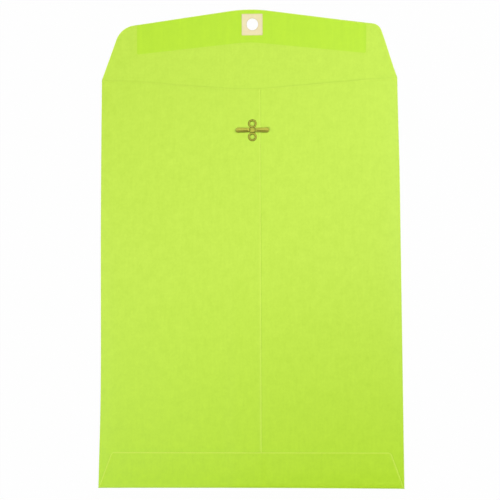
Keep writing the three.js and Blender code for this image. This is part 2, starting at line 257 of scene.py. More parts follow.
# steps of the mesh lines, and where they lie closer
FRONT_STEP = 3
PANEL_STEP = 2.6
BOTTOM_STEP = 1.4
LOWER_STEP = 1.6
GLUE_STEP = 2
SEAM_GLUE_STEP = 3
LOOP_STEP = 0.15
RAY_STEP = 1.05
RAY_TURN = 2
PATCH_RAY_TURN = 1.5
NEAR = np.array([0, 0.3, 0.6, 1, 1.6, 2.6, 4, 6])
NEAR_EYELET = np.array([0, 0.525, 1.05, 1.575, PAPER_HOLE, 2.8, 3.6, 4.6])
EYELET_REACH = 4.6
THROAT_MESH_REACH = 26
STEP_LINE = UNDER_X - 1.5
LAP_LINES = np.array([-12.3, -11.3, 8.5, 9.5, 10.5])
COLUMN_STEP = 0.02
SIDE_COLUMN = 0.994
NEAR_SIDE = np.array([0, 0.003])
CORNER_ROWS = np.array([0.02, 0.06, 0.15, 0.7])
FLAP_ROWS = np.concatenate([[0, 0.004, 0.012, 0.03], np.linspace(0.06, 0.97, 44), [0.985, 0.993, 0.997, 1]])
PATCH_ROWS = np.concatenate([[0, 0.03, 0.08], np.linspace(0.15, 0.85, 9), [0.93, 0.97, 1]])
NOSE_FLAT = 3
NOSE_TURN = 12
RIM_POINTS = 19
RING_SIDES = 96
BAR_SIDES = 30
STRAP_STATIONS = 59
KNUCKLE_POINTS = 7
BRIDGE_POINTS = 6
PRONG_STATIONS = 41
TIP_STATIONS = 15
TIP_SHARE = 0.9995
SHARP_ANGLE = 40
VOXEL = 0.06

# colours: linear red, green, blue and alpha
LIME_TONES = (0.46, 0.73, 0.026, 1), (0.61, 0.877, 0.058, 1)
# paler cut edge of the paper, partly a painted highlight along the edges
LIME_EDGE_AND_HIGHLIGHT = (0.74, 0.95, 0.12, 1)
# tints that paint shade towards the bottom and a pale sheen towards the top
LIME_SHADE_AND_SHEEN_TINTS = (0.91, 0.985, 0.42, 1), (1.027, 1, 1.33, 1)
CARD_TONES = (0.80, 0.69, 0.38, 1), (0.92, 0.83, 0.53, 1)
# darker rim of the card: partly its cut edge, partly painted shade along the patch's edges
CARD_EDGE_SHADE = (0.70, 0.55, 0.27, 1)
GUM_TONES = (0.44, 0.752, 0.014, 1), (0.555, 0.86, 0.026, 1)
GUM_EDGE = (0.42, 0.74, 0.01, 1)
BRASS_TONES = (0.28, 0.28, 0.034, 1), (0.43, 0.425, 0.065, 1)
# dark olive painted on the brass's steep slopes as shade
SLOPE_SHADE = (0.07, 0.1, 0.006, 1)
GLUE_TONES = (0.74, 0.72, 0.48, 1), (0.86, 0.85, 0.66, 1)
GREY = (0.5, 0.5, 0.5, 1)
WHITE = (1, 1, 1, 1)

# where the ramp of painted shade and sheen starts and ends along Y, and the power that it follows between
# them
SHADE_RAMP_START = -145
SHADE_RAMP_END = 15
SHADE_RAMP_POWER = 0.7

# steepness where painted shade starts on the metal's slopes and where it is full, and how dense it is there
SLOPE_SHADE_START = 0.008
SLOPE_SHADE_FULL = 0.1
SLOPE_SHADE_DENSITY = 0.95

# soft square lamps: place and size in metres, and power in watts
PANELS = {"west panel": ((-0.8, -0.25, 0.9), 0.9, 6.8), "low east panel": ((0.6, 0.2, 0.6), 0.6, 3.95),
          "east panel": ((0.8, 0.2, 0.9), 0.9, 0.85), "top panel": ((0, 0.48, 1.0), 0.5, 1.85),
          "south panel": ((-0.3, -0.55, 0.95), 0.5, 1.45)}
PANEL_AIM = (0, 0.04, 0)

# spot, camera and sky, in metres and degrees
SPOT_PLACE = (-0.35, -0.9, 0.75)
SPOT_AIM = (-0.02, 0.16, 0)
SPOT_ANGLE = 20
SPOT_RADIUS = 0.06
SPOT_WATTS = 8.5
SKY_STRENGTH = 0.13
CAMERA_PLACE = (0.01152, -0.0075, 0.52163)
CAMERA_TURN = (3.2515, 1.2388, -0.1543)

# ground
GROUND_RADIUS = 4000
GROUND_TOP = -0.05
GROUND_SIDES = 96
WALL_HEIGHT = 2600
FLOOR_WHITE = 0.985


def ease(t):
    """0 up to t = 0, 1 from t = 1, and the cubic 3t^2 - 2t^3 between them."""
    t = np.clip(t, 0, 1)
    return t * t * (3 - 2 * t)


def ramp(value, grows):
    """Eases from 0 at the first place of a pair to 1 at the second, which may be the lower one."""
    return ease((value - grows[0]) / (grows[1] - grows[0]))


def bell(distance, width, strength=1.0):
    """The strength at no distance, fading as the exponential of the square of distance over width."""
    return strength * np.exp(-(distance / width) ** 2)


def decay(distance, width):
    """1 up to no distance, fading as the exponential of distance over width."""
    return np.exp(-np.clip(distance, 0, None) / width)


def away(x, y, place, radius):
    """0 at a place and 1 far from it: what a round bell leaves."""
    return 1 - np.exp(-((x - place[0]) ** 2 + (y - place[1]) ** 2) / radius ** 2)


def lines(start, end, step, *extras):
    """Rising positions from start to end a step apart; one close to an extra position gives way to it."""
    base = np.linspace(start, end, round((end - start) / step) + 1)
    extra = np.concatenate([[], *extras])
    extra = extra[(extra > start) & (extra < end)]
    if extra.size:
        clear = np.abs(base[:, None] - extra[None, :]).min(1) > 0.08 * step
        clear[[0, -1]] = True
        base = base[clear]
    return np.unique(np.concatenate([base, extra]))


def around(place, offsets=NEAR):
    """Positions at both signs of the offsets from a place."""
    return np.unique([place - offsets, place + offsets])


def circle(sides):
    """Points of a counter-clockwise circle of radius 1."""
    turn = np.linspace(0, 2 * np.pi, sides, endpoint=False)
    return np.stack([np.cos(turn), np.sin(turn)], 1)


# Shape of the sheet


def side_draw(x, y):
    """How far a side edge stands inside the CAD's straight edge at a height y."""
    left = LEFT_DRAW + bell(y - LEFT_BELL_Y, np.where(y > LEFT_BELL_Y, *LEFT_BELL_WIDTHS), LEFT_BELL)
    right = RIGHT_DRAW + RIGHT_DRAW_MORE * ramp(y, RIGHT_DRAW_GROWS)
    on_flap = ease((y - FOLD_Y) / SHOULDER_RISE)
    return np.where(x < 0, left, right) * (1 - on_flap) + np.where(x < 0, *FLAP_DRAWS) * on_flap


def laid(x, y, z):
    """Points of the sheet: its sides drawn in, and its bottom edge bowed down, most at its corners.

    Both moves fade out from the edge inwards.
    """
    draw = side_draw(x, y) * ramp(np.abs(x), (DRAW_START, HALF_WIDTH))
    bow = (BOW + BOW_AT_CORNERS * (x / HALF_WIDTH) ** 2) * ease(1 - (y - BOTTOM_Y) / BOW_REACH)
    return np.stack([x - np.sign(x) * draw, y - bow, z], -1)


def cockle(x, y):
    """Slow waves of the paper: a sum of sines with their own direction, length and phase."""
    return sum(np.sin(2 * np.pi * (a * x + b * y) / length + phase) for a, b, length, phase in WAVES) / 3


def skin(x, y):
    """Height of the back above the CAD's level back.

    It is pressed down towards the side and bottom folds, rounded off at the bottom by a quarter of an
    ellipse, puffed over the pocket and cockled except round the clasp. The throat gapes at the right
    and sinks towards the front at the left and in the middle.
    """
    beside = ease((HALF_WIDTH - np.abs(x)) / SIDE_PRESS_REACH)
    above = ease((y - BOTTOM_Y) / BOTTOM_PRESS_REACH)
    pressed = PRESSED * (1 - beside) + BOTTOM_PRESSED * beside * (1 - above)
    reach_in = ROLL_REACH * (ROLL_LEFT_SHARE + (1 - ROLL_LEFT_SHARE) * ramp(x, ROLL_REACH_GROWS))
    rolled = ROLL * (ROLL_SIDE_SHARE + (1 - ROLL_SIDE_SHARE) * beside)
    rolled = rolled * (1 - np.sqrt(1 - np.clip(1 - (y - BOTTOM_Y) / reach_in, 0, 1) ** 2))
    crown = np.clip(1 - (x / HALF_WIDTH) ** 2, 0, 1)
    puff = PUFF * crown * ramp(y, PUFF_GROWS) * ramp(y, PUFF_GROWS_DOWN)
    sunk = SINK * ramp(x, SINK_GROWS_LEFT) * ramp(x + HALF_WIDTH, SINK_GROWS_FROM_SIDE)
    sunk = sunk + bell(x - V_X, V_SINK_WIDTH, V_SINK)
    gape = (GAPE * crown ** 2 - sunk) * ramp(y, GAPE_GROWS)
    waves = COCKLE * away(x, y, CLASP, CLASP_CALM) * cockle(x, y)
    return beside * above * (puff + gape + waves) - pressed - rolled


def lap_step(x):
    """Rise of the left panel on to the right panel's edge, from 0 to 1."""
    return ease((x - (UNDER_X - STEP_LEAD - STEP_RUN)) / STEP_RUN)


def throat(x):
    """Height of the throat's edge: level at the left, down to a V with a round tip, up to the right."""
    rounded = V_ROUND * decay(np.abs(x - V_X), V_ROUND_WIDTH)
    return FOLD_Y - np.interp(x, THROAT_X, THROAT_DROPS) + rounded


def right_top(x, y):
    """Upper face of the panel under the seam; it turns down at the throat's edge."""
    return PANEL_TOP + skin(x, y) - LIP * decay(throat(x) - y, LIP_WIDTH)


def left_top(x, y):
    """Upper face of the panel that laps over the seam; its free edge curls up a little."""
    curl = SEAM_CURL * decay(SEAM_X - x, SEAM_CURL_WIDTH) * (y > LOWER_TOP)
    return right_top(x, y) + LAP_RISE * lap_step(x) + curl


def lower_flap_half(y, margin=0.0):
    """Half the bottom flap's width: slanted sides that an arc joins to its upper edge."""
    slope = LOWER_INSET / (LOWER_TOP - BOTTOM_Y)
    stretch = math.hypot(1, slope)
    foot = HALF_WIDTH - SHEET - margin * stretch
    middle_y = LOWER_TOP - margin - LOWER_RADIUS
    middle_x = foot - slope * (middle_y - BOTTOM_Y) - LOWER_RADIUS * stretch
    meets = middle_y + LOWER_RADIUS * slope / stretch
    arc = middle_x + np.sqrt(np.clip(LOWER_RADIUS ** 2 - (y - middle_y) ** 2, 0, None))
    return np.where(y < meets, foot - slope * (y - BOTTOM_Y), arc)


def lower_flap_top(x, y):
    """Upper face of the bottom flap: it steps over the lap, and its free edges stand up in a low ridge."""
    over = lap_step(x) * (1 - ease((x - SEAM_X - STEP_LEAD) / STEP_DOWN_RUN))
    inwards = np.minimum(LOWER_TOP - y, np.abs(lower_flap_half(y) - np.abs(x)))
    return PANEL_TOP + GLUE_GAP + SHEET + LAP_RISE * over + skin(x, y) + bell(inwards, RIDGE_WIDTH, RIDGE)


def flap_top(x, y):
    """Upper face of the open closure flap: it lies level by its crease and is sprung up at the left.

    Its shoulders curl up, and its waves are left out round the hole.
    """
    off_crease = ease((y - FLAP_START) / FLAP_LEVEL_RUN)
    shoulder = ramp(np.abs(x), CURL_GROWS_OUT) * ramp(y - FOLD_Y, CURL_GROWS_UP)
    wave = FLAP_WAVE_SHARE * COCKLE * (1 + cockle(x, y + FLAP_WAVE_SHIFT))
    sprung = SPRING * ramp(x, SPRING_GROWS_LEFT)
    return SHEET + off_crease * (CURL * shoulder + away(x, y, HOLE, HOLE_CALM) * wave + sprung)


# Outlines, as closed loops of points in X and Y


def rounded_loop(corners_in):
    """A counter-clockwise loop through corners given as (x, y, radius), each rounded by an arc."""
    points = np.array([corner[:2] for corner in corners_in], float)
    count = len(points)
    pieces = []
    for i in range(count):
        before, corner, after = points[i - 1], points[i], points[(i + 1) % count]
        radius = corners_in[i][2]
        into = (corner - before) / np.linalg.norm(corner - before)
        out = (after - corner) / np.linalg.norm(after - corner)
        turn = math.atan2(into[0] * out[1] - into[1] * out[0], into @ out)
        setback = radius * math.tan(abs(turn) / 2)
        centre = corner - into * setback + np.array([-into[1], into[0]]) * radius * np.sign(turn)
        first = math.atan2(*(corner - into * setback - centre)[::-1])
        angles = first + turn * np.linspace(0, 1, max(2, round(abs(turn) * radius / LOOP_STEP)))
        pieces.append(centre + radius * np.stack([np.cos(angles), np.sin(angles)], 1))
    loop = np.concatenate(pieces)
    ahead = np.roll(loop, -1, 0)
    spans = np.maximum(1, np.round(np.linalg.norm(ahead - loop, axis=1) / LOOP_STEP)).astype(int)
    start = np.repeat(loop, spans, 0)
    share = np.concatenate([np.arange(n) / n for n in spans])[:, None]
    return start + share * np.repeat(ahead - loop, spans, 0)


def bearings(loop):
    """Falling angles from the hole: one for each ray step along the loop, and others evenly round."""
    far = loop[:: round(RAY_STEP / LOOP_STEP)] - HOLE
    even = np.radians(np.arange(0, 360, RAY_TURN))
    every = np.concatenate([np.arctan2(far[:, 1], far[:, 0]) % (2 * np.pi), even])
    return np.unique(np.round(every, 4))[::-1]


def reach(loop, angles):
    """Distance from the hole's middle to a star-shaped loop along each angle."""
    out = loop - HOLE
    at = np.arctan2(out[:, 1], out[:, 0]) % (2 * np.pi)
    order = np.argsort(at)
    return np.interp(angles, at[order], np.linalg.norm(out, axis=1)[order], period=2 * np.pi)


def ring_grid(inner, outer, angles, rows):
    """X and Y of a grid round the hole, and each point's distance to the outer and the inner loop.

    Its rays run from the inner loop to the outer one, and its rows are shares of the way.
    """
    near, far = reach(inner, angles), reach(outer, angles)
    distance = near[:, None] + (far - near)[:, None] * rows[None, :]
    x = HOLE[0] + distance * np.cos(angles)[:, None]
    y = HOLE[1] + distance * np.sin(angles)[:, None]
    return x, y, far[:, None] - distance, distance - near[:, None]


def punched_hole():
    """The hole of the flap and its patch: an ellipse with a point at each degree."""
    return HOLE + HOLE_SHIFT + np.array(HOLE_HALVES) * circle(360)


def rectangle(low, high, radius):
    """A counter-clockwise rectangle with rounded corners as a loop."""
    return rounded_loop([(low[0], low[1], radius), (high[0], low[1], radius),
                         (high[0], high[1], radius), (low[0], high[1], radius)])


def gum_top(x):
    """Height of the gum band's upper edge before rounding, which runs along the flap's."""
    return FOLD_Y + FLAP_PEAK + (SHOULDER_RISE - FLAP_PEAK) * abs(x) / SHOULDER_X - GUM_MARGIN


def flap_side(y):
    """Half the closure flap's width at a height, between the fold and the shoulders."""
    return HALF_WIDTH - SHOULDER_INSET * np.clip((y - FOLD_Y) / SHOULDER_RISE, 0, 1)


# Meshes


def slab(mid, thickness, keep=None, closed=False):
    """Points, faces, and which faces are cut edges, of a sheet with a grid of points as its middle.

    Each point moves half the thickness both ways along the grid's normal, first axis cross second.
    A wall closes every edge between a kept cell and one that isn't kept. A closed grid wraps round
    its first axis.
    """
    cells = (mid.shape[0] if closed else mid.shape[0] - 1, mid.shape[1] - 1)
    keep = np.ones(cells, bool) if keep is None else keep
    along = np.roll(mid, -1, 0) - np.roll(mid, 1, 0) if closed else np.gradient(mid, axis=0)
    normal = np.cross(along, np.gradient(mid, axis=1))
    normal /= np.linalg.norm(normal, axis=2, keepdims=True)
    shift = normal * thickness / 2
    points = np.concatenate([(mid + shift).reshape(-1, 3), (mid - shift).reshape(-1, 3)])
    count = mid.shape[0] * mid.shape[1]
    index = np.arange(count).reshape(mid.shape[:2])
    index = np.vstack([index, index[:1]]) if closed else index
    ring = [index[:-1, :-1], index[1:, :-1], index[1:, 1:], index[:-1, 1:]]
    upper = np.stack(ring, -1)[keep]
    lower = upper[:, ::-1] + count
    padded = np.pad(keep, ((1, 1), (0, 0)), mode="wrap" if closed else "constant")
    padded = np.pad(padded, ((0, 0), (1, 1)))
    beyond = [padded[1:-1, :-2], padded[2:, 1:-1], padded[1:-1, 2:], padded[:-2, 1:-1]]
    walls = []
    for side in range(4):
        bare = keep & ~beyond[side]
        start, end = ring[side][bare], ring[(side + 1) % 4][bare]
        walls.append(np.stack([end, start, start + count, end + count], -1))
    faces = np.concatenate([upper, lower, *walls])
    cut = np.arange(len(faces)) >= 2 * len(upper)
    return points, faces, cut


def bar(loops):
    """Points and faces of a closed bar: loops of points run round it, and each end is one flat face."""
    stations, sides = loops.shape[:2]
    index = np.arange(stations * sides).reshape(stations, sides)
    ahead = np.roll(index, -1, 1)
    quads = np.stack([index[:-1], ahead[:-1], ahead[1:], index[1:]], -1).reshape(-1, 4)
    return loops.reshape(-1, 3), quads.tolist() + [index[0, ::-1].tolist(), index[-1].tolist()]


def lathe(profile, sides):
    """Points and faces of a ring: a closed profile of (radius, height) turned round the vertical."""
    across = profile[None, :, :1] * circle(sides)[:, None]
    points = np.concatenate([across, 0 * across[..., :1] + profile[None, :, 1:]], -1)
    index = np.arange(sides * len(profile)).reshape(sides, -1)
    on, ahead = np.roll(index, -1, 0), np.roll(index, -1, 1)
    quads = np.stack([index, on, np.roll(on, -1, 1), ahead], -1).reshape(-1, 4)
    return points.reshape(-1, 3), quads


def linked(name, data):
    """A new object in the scene's collection."""
    made = bpy.data.objects.new(name, data)
    bpy.context.scene.collection.objects.link(made)
    return made


def mesh_object(name, points, faces, marks=None, cut=None):
    """A smooth-shaded object in metres, without loose points, with marks as values on its points."""
    used = np.unique(np.concatenate(faces))
    place = np.full(len(points), -1)
    place[used] = np.arange(len(used))
    mesh = bpy.data.meshes.new(name)
    mesh.from_pydata((points[used] * MM).tolist(), [], [place[face].tolist() for face in faces])
    mesh.shade_smooth()
    mesh.set_sharp_from_angle(angle=math.radians(SHARP_ANGLE))
    for key, values in (marks or {}).items():
        both = np.concatenate([values.ravel(), values.ravel()])[used]
        mesh.attributes.new(key, "FLOAT", "POINT").data.foreach_set("value", both.astype(np.float32))
    if cut is not None:
        mesh.attributes.new("cut", "FLOAT", "FACE").data.foreach_set("value", cut.astype(np.float32))
    return linked(name, mesh)


def mark_slopes(made):
    """Marks each point with its steepness: 0 where the face lies level, and 1 where it stands upright."""
    mesh = made.data
    normals = np.empty(3 * len(mesh.vertices), np.float32)
    mesh.vertex_normals.foreach_get("vector", normals)
    steep = 1 - np.abs(normals.reshape(-1, 3)[:, 2])
    mesh.attributes.new("steep", "FLOAT", "POINT").data.foreach_set("value", steep)


def dress(made, material, node):
    """Gives a piece its material and hides its CAD node, whose place the piece takes."""
    made.data.materials.append(material)
    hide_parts(node)
    return made


def sheet_mesh(name, mid, thickness=SHEET, marks=None, keep=None, closed=False):
    """The object of a sheet that has a grid of points as its middle."""
    points, faces, cut = slab(mid, thickness, keep, closed)
    return mesh_object(name, points, faces, marks, cut)


def sheet_piece(name, x, y, top, material, node, edge=None, keep=None, thickness=SHEET,
                closed=False):
    """A dressed sheet whose upper face has the given height over X and Y, drawn in at the sides."""
    marks = {} if edge is None else {"edge": edge}
    made = sheet_mesh(name, laid(x, y, top - thickness / 2), thickness, marks, keep, closed)
    return dress(made, material, node)


def open_round(x, y, centre):
    """Bends a grid's lines round an eyelet's hole.

    The square of half-side s round the centre becomes a circle of radius s: fully at the hole's edge,
    and not at all from the eyelet's reach on or inside the hole.
    """
    dx, dy = x - centre[0], y - centre[1]
    square = np.maximum(np.abs(dx), np.abs(dy))
    length = np.maximum(np.hypot(dx, dy), 1e-9)
    bend = (1 - ramp(square, (PAPER_HOLE, EYELET_REACH))) * (square > PAPER_HOLE * 0.99)
    scale = 1 + bend * (square / length - 1)
    return centre[0] + dx * scale, centre[1] + dy * scale


def panel_grid(x_lines, y_lines):
    """X, Y and kept cells of a back panel: it ends at the throat and has a round hole for each eyelet."""
    x, y = np.meshgrid(x_lines, y_lines, indexing="ij")
    middles = [(places[1:] + places[:-1]) / 2 for places in (x_lines, y_lines)]
    keep = np.ones([len(places) for places in middles], bool)
    for side in (-1, 1):
        centre = CLASP + [0, side * RING_SPACING / 2]
        across, along = [np.abs(places - at) < PAPER_HOLE for places, at in zip(middles, centre)]
        keep &= ~(across[:, None] & along)
        x, y = open_round(x, y, centre)
    low = FOLD_Y - THROAT_MESH_REACH
    share = np.clip((y - low) / (y_lines[-1] - low), 0, 1)
    y = np.where(share > 0, low + share * (throat(x) - low), y)
    return x, y, keep


def eyelet_lines(axis):
    """Mesh lines that let a grid bend round both eyelets, along X or along Y."""
    shift = axis * RING_SPACING / 2
    return np.concatenate([around(CLASP[axis] + side * shift, NEAR_EYELET) for side in (-1, 1)])


# Pieces of the sheet


def front_sheet(lime):
    """The front panel, raised under the clasp by the exponential of minus a distance's fourth power."""
    x, y = np.meshgrid(lines(-PANEL_HALF, PANEL_HALF, FRONT_STEP), lines(PANEL_LOW, PANEL_HIGH, FRONT_STEP),
                       indexing="ij")
    across, along = (x - CLASP[0]) / FRONT_DENT_HALVES[0], (y - CLASP[1]) / FRONT_DENT_HALVES[1]
    top = SHEET + FRONT_DENT * np.exp(-(across ** 2 + along ** 2) ** 2)
    return sheet_piece("front_sheet", x, y, top, lime, "front_panel")


def back_rows():
    """Mesh lines of both back panels along Y."""
    return lines(PANEL_LOW - BACK_OVERLAP, PANEL_HIGH, PANEL_STEP, eyelet_lines(1), PANEL_HIGH - NEAR)


def back_left(lime):
    """The back panel that laps over the seam, whose cut edge and throat are marked as bells."""
    x_lines = lines(-PANEL_HALF, SEAM_X, PANEL_STEP, eyelet_lines(0), around(STEP_LINE), SEAM_X - NEAR)
    x, y, keep = panel_grid(x_lines, back_rows())
    edge = np.maximum(bell(throat(x) - y, *THROAT_MARK), bell(SEAM_X - x, *SEAM_MARK))
    return sheet_piece("back_left", x, y, left_top(x, y), lime, "back_panel_left", edge, keep)


def back_right(lime):
    """The back panel under the seam."""
    x_lines = lines(UNDER_X, PANEL_HALF, PANEL_STEP, eyelet_lines(0), around(SEAM_X), UNDER_X + NEAR)
    x, y, keep = panel_grid(x_lines, back_rows())
    edge = bell(throat(x) - y, *THROAT_MARK)
    return sheet_piece("back_right", x, y, right_top(x, y), lime, "back_panel_right", edge,
                       keep)


def nose(reach_in, rise):
    """Distances from a fold's line and heights over the lower sheet's middle: flat, half a circle, flat."""
    radius = rise / 2
    turn = np.linspace(-np.pi / 2, np.pi / 2, NOSE_TURN)
    flat = np.linspace(reach_in, 0, NOSE_FLAT + 1)[:-1]
    run = flat * (reach_in - radius) / reach_in + radius
    lower = np.stack([run, 0 * run], -1)
    arc = np.stack([radius * (1 - np.cos(turn)), radius * (1 + np.sin(turn))], -1)
    upper = np.stack([run[::-1], rise + 0 * run], -1)
    return np.concatenate([lower, arc, upper])


def fold_profile(reach_in, rises):
    """Distances in from a fold's line and heights, in a row of points for each rise."""
    profile = np.stack([nose(reach_in - SHEET / 2, rise) for rise in rises])
    return profile[..., 0], profile[..., 1] + SHEET / 2


def side_fold(side, name, node, lime):
    """A crease up the side: the front turns over in half a circle and runs into the back panel."""
    top = left_top if side < 0 else right_top
    y_lines = lines(PANEL_LOW, PANEL_HIGH, PANEL_STEP)
    rises = top(side * (HALF_WIDTH - FOLD_READ) + 0 * y_lines, y_lines) - SHEET
    inwards, z = fold_profile(FOLD_REACH, rises)
    x = side * (HALF_WIDTH - SHEET / 2) - side * inwards
    y = y_lines[:, None] + 0 * x
    z[:, -NOSE_FLAT:] = top(x, y)[:, -NOSE_FLAT:] - SHEET / 2
    mid = laid(x, y, z)[::side]
    made = sheet_mesh(name, mid, marks={"crease": bell(inwards, *CREASE_MARK)})
    return dress(made, lime, node)


def bottom_fold(lime):
    """The crease along the bottom: the front turns up in half a circle and runs into the bottom flap."""
    x_lines = lines(-HALF_WIDTH, HALF_WIDTH, BOTTOM_STEP)
    rises = lower_flap_top(x_lines, BOTTOM_Y + FOLD_READ + 0 * x_lines) - SHEET
    inwards, z = fold_profile(BOTTOM_FOLD_REACH, rises)
    x = x_lines[:, None] + 0 * inwards
    y = BOTTOM_Y + SHEET / 2 + inwards
    z[:, -NOSE_FLAT:] = lower_flap_top(x, y)[:, -NOSE_FLAT:] - SHEET / 2
    return dress(sheet_mesh("fold_bottom", laid(x, y, z)), lime, "bottom_fold")


def lower_flap(lime):
    """The bottom flap: rows from one slanted side to the other, closer by its free edges and the lap."""
    rows = lines(PANEL_LOW, LOWER_TOP, LOWER_STEP, LOWER_TOP - NEAR,
                 LOWER_TOP - LOWER_RADIUS * CORNER_ROWS)
    columns = lines(-1, 1, COLUMN_STEP, around(SIDE_COLUMN, NEAR_SIDE), around(-SIDE_COLUMN, NEAR_SIDE),
                    LAP_LINES / HALF_WIDTH)
    u, y = np.meshgrid(columns, rows, indexing="ij")
    half = lower_flap_half(y)
    x = u * half
    edge = np.maximum(bell(LOWER_TOP - y, *LOWER_TOP_MARK), bell(half - np.abs(x), *LOWER_SIDE_MARK))
    return sheet_piece("lower_flap", x, y, lower_flap_top(x, y), lime, "bottom_flap", edge)


def glue_film(name, x, y, above, glue, node, keep=None):
    """A film of glue just under a sheet with the given upper face."""
    return sheet_piece(name, x, y, above - SHEET - GLUE_CLEARANCE, glue, node,
                       thickness=GLUE_FILM, keep=keep)


def lower_flap_glue(glue):
    """The glue under the bottom flap."""
    rows = lines(BOTTOM_Y + GLUE_MARGIN, LOWER_TOP - GLUE_MARGIN, GLUE_STEP)
    u, y = np.meshgrid(np.linspace(-1, 1, 101), rows, indexing="ij")
    x = u * lower_flap_half(y, GLUE_MARGIN)
    return glue_film("lower_flap_glue", x, y, lower_flap_top(x, y), glue, "bottom_flap_glue")


def seam_glue(glue):
    """The glue in the lap of the back panels."""
    low, high = corners("center_seam_glue")
    x_lines = lines(low[0], high[0], GLUE_STEP, eyelet_lines(0))
    y_lines = lines(low[1], high[1], SEAM_GLUE_STEP, eyelet_lines(1))
    x, y, keep = panel_grid(x_lines, y_lines)
    y = np.minimum(y, high[1])
    return glue_film("seam_glue", x, y, left_top(x, y), glue, "center_seam_glue", keep)


def build_body(lime, lime_lower, glue):
    """The pocket's panels and folds, the bottom flap and the glue."""
    bodies = [front_sheet(lime), back_left(lime), back_right(lime),
              side_fold(-1, "fold_left", "left_side_fold", lime),
              side_fold(1, "fold_right", "right_side_fold", lime), bottom_fold(lime),
              lower_flap(lime_lower), lower_flap_glue(glue), seam_glue(glue)]
    for made in bodies:
        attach(made, "envelope")


def flap_sheet(lime):
    """The closure flap beyond its crease: rays from the punched hole to the rounded outline."""
    outline = rounded_loop([
        (-flap_side(FLAP_START), FLAP_START, 0), (flap_side(FLAP_START), FLAP_START, 0),
        (SHOULDER_X, FOLD_Y + SHOULDER_RISE + SHOULDER_RIGHT_LIFT, SHOULDER_RIGHT_RADIUS),
        (0, FOLD_Y + FLAP_PEAK, FLAP_PEAK_RADIUS),
        (-SHOULDER_X, FOLD_Y + SHOULDER_RISE, SHOULDER_LEFT_RADIUS)])
    x, y, to_edge, to_hole = ring_grid(punched_hole(), outline, bearings(outline), FLAP_ROWS)
    free = bell(to_edge, *FLAP_MARK) * (y > FLAP_START + FLAP_MARK_START)
    edge = np.maximum(free, bell(to_hole, *HOLE_MARK))
    return sheet_piece("closure_flap_sheet", x, y, flap_top(x, y), lime, "closure_flap", edge,
                       closed=True)


def gum_band(gum):
    """The gum along the flap's upper edge, with a window for the patch."""
    left, right = GUM_LOW[0], GUM_HIGH[0]
    peak, left_end, right_end = gum_top(0), gum_top(left), gum_top(right)
    band = rounded_loop([
        (left, left_end - GUM_END_DEPTH, GUM_CORNER), (0, peak - GUM_MIDDLE_DEPTH, GUM_PEAK_RADIUS),
        (right, right_end - GUM_END_DEPTH, GUM_CORNER), (right, right_end, GUM_CORNER),
        (0, peak, FLAP_PEAK_RADIUS), (left, left_end, GUM_CORNER)])
    window = rectangle(PATCH_LOW - PATCH_CLEARANCE, PATCH_HIGH + PATCH_CLEARANCE, WINDOW_CORNER)
    x, y, to_edge = ring_grid(window, band, bearings(band), FLAP_ROWS)[:3]
    return sheet_piece("gum_band", x, y, flap_top(x, y) + GUM_FILM, gum, "flap_gum",
                       bell(to_edge, *GUM_MARK), thickness=GUM_FILM, closed=True)


def hole_patch(card):
    """The reinforcing patch round the hole, a little crowned."""
    outer = rectangle(PATCH_LOW, PATCH_HIGH, PATCH_CORNER)
    angles = np.radians(np.arange(360 - PATCH_RAY_TURN, -1, -PATCH_RAY_TURN))
    x, y, to_edge, to_hole = ring_grid(punched_hole(), outer, angles, PATCH_ROWS)
    top = flap_top(x, y) + SHEET + PATCH_CROWN * (1 - bell(to_edge, PATCH_CROWN_WIDTH))
    # the patch's rim is darkened towards the card's edge colour, partly as painted shade
    edge = bell(np.minimum(to_edge, to_hole), *PATCH_MARK)
    return sheet_piece("patch", x, y, top, card, "hole_patch", edge, closed=True)


def flap_crease(lime):
    """The crease that joins the closure flap to the front, as a level strip."""
    u, y = np.meshgrid(np.linspace(-1, 1, 151), np.linspace(PANEL_HIGH, FLAP_START, 19), indexing="ij")
    x = u * flap_side(y)
    crease = sheet_mesh("flap_crease", laid(x, y, SHEET / 2 + 0 * x))
    crease.data.materials.append(lime)
    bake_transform(crease)


def build_closure_flap(lime, gum, card):
    """The closure flap with its gum band, patch and crease."""
    for made in (flap_sheet(lime), gum_band(gum), hole_patch(card)):
        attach(made, "flap")
    flap_crease(lime)


# Clasp


def eyelet_profile():
    """Closed (radius, height) profile, counter-clockwise: clinched foot, rolled rim, funnel and bore."""
    crown, half = (RIM_RADIUS + BORE_RADIUS) / 2, (RIM_RADIUS - BORE_RADIUS) / 2
    turn = np.linspace(0, np.pi, RIM_POINTS)
    rim = np.stack([crown + half * np.cos(turn), LAP_TOP + RIM_RISE * np.sin(turn) ** RIM_POWER], 1)
    foot = [(BORE_RADIUS, FOOT_BOTTOM + FOOT_BEVEL), (BORE_RADIUS + 2 * FOOT_BEVEL, FOOT_BOTTOM),
            (FOOT_RADIUS - FOOT_BEVEL, FOOT_BOTTOM), (FOOT_RADIUS, FOOT_BOTTOM + FOOT_EDGE),
            (FOOT_RADIUS - FOOT_BEVEL, FOOT_TOP), (BARREL_RADIUS, FOOT_TOP), (BARREL_RADIUS, LAP_TOP)]
    return np.concatenate([foot, rim])


def band_loop(half, thickness, crown):
    """Across and up offsets of a rounded flat bar, from its left edge over the top and back below.

    The edge is a superellipse, and the top is crowned by a parabola.
    """
    turn = np.linspace(np.pi, -np.pi, BAR_SIDES, endpoint=False)
    across = np.sign(np.cos(turn)) * np.abs(np.cos(turn)) ** (2 / BAR_POWER)
    up = np.sign(np.sin(turn)) * np.abs(np.sin(turn)) ** (2 / BAR_POWER)
    return across * half, up * thickness / 2 + crown * (1 - across ** 2)


